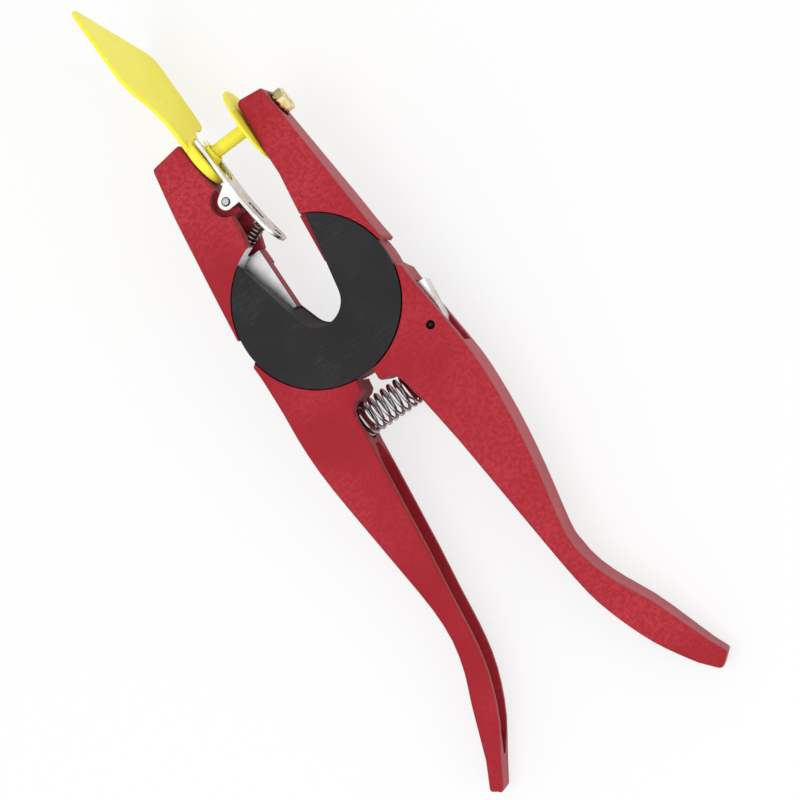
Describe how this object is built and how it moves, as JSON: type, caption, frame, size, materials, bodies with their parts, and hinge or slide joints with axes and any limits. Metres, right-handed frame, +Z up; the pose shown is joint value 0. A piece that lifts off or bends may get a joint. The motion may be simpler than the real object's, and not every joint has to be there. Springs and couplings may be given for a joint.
{
  "type": "ear tag applicator",
  "caption": "Plier-type applicator for livestock ear tags: crossed cast arms on an open-throat hub, sprung clip jaw and pin jaw, loaded with a flag tag and its button.",
  "frame": {"origin": "centre of the bounding box, on the surface that the tool lies on", "axes": "+Y towards the jaws, +Z up, the front hub cover facing up; the tool's own plane leans about 7.6 degrees up towards the jaws, as it rests on the tag and both grips"},
  "size_m": [0.0918, 0.304, 0.0617],
  "materials": {
    "clip_arm": "satin powder coat",
    "pin_arm": "satin powder coat",
    "front_hub_cover": "satin",
    "rear_hub_cover": "satin",
    "clip": "polished sheet",
    "clip_pivot_pin": "polished",
    "female_tag": "satin",
    "male_button": "satin",
    "tag_pin": "turned",
    "stem_point": "plated",
    "pin_washer": "dark oiled",
    "pin_nut": "yellow plated",
    "lock_lever": "bright stamped",
    "lever_pin": "black oxide",
    "return_spring": "bright",
    "clip_spring": "dark",
    "lever_spring": "dark",
    "hub_screw_1": "zinc plated",
    "hub_screw_2": "zinc plated",
    "hub_screw_3": "zinc plated"
  },
  "bodies": {
    "clip_side": {"clip_arm": "clip_arm", "front_hub_cover": "front_hub_cover", "rear_hub_cover": "rear_hub_cover", "hub_screw_1": "hub_screw_1", "hub_screw_2": "hub_screw_2", "hub_screw_3": "hub_screw_3", "clip_pivot_pin": "clip_pivot_pin", "lever_pin": "lever_pin", "female_tag": "female_tag", "return_spring": "return_spring", "clip_spring": "clip_spring", "lever_spring": "lever_spring"},
    "pin_side": {"pin_arm": "pin_arm", "tag_pin": "tag_pin", "pin_washer": "pin_washer", "pin_nut": "pin_nut", "male_button": "male_button", "stem_point": "stem_point"},
    "clip": {"clip": "clip"},
    "lever": {"lock_lever": "lock_lever"}
  },
  "joints": [
    {"name": "handle_pivot", "type": "hinge", "parent": "clip_side", "child": "pin_side", "pos_m": [-0.00141, 0.02012, 0.02789], "axis": [-0.0037, -0.1324, 0.9912], "range_deg": [-16, 9], "stiffness_Nm_per_rad": 3.5, "deforming": ["return_spring"]},
    {"name": "clip_pivot", "type": "hinge", "parent": "clip_side", "child": "clip", "pos_m": [-0.00872, 0.06641, 0.03404], "axis": [-0.0037, -0.1324, 0.9912], "range_deg": [-12, 0], "stiffness_Nm_per_rad": 0.15, "springref_deg": 17.19, "deforming": ["clip_spring"]},
    {"name": "lever_pivot", "type": "hinge", "parent": "clip_side", "child": "lever", "pos_m": [0.0266, -0.00883, 0.02412], "axis": [-0.0037, -0.1324, 0.9912], "range_deg": [0, 6], "stiffness_Nm_per_rad": 0.05, "springref_deg": -17.19, "deforming": ["lever_spring"]}
  ]
}
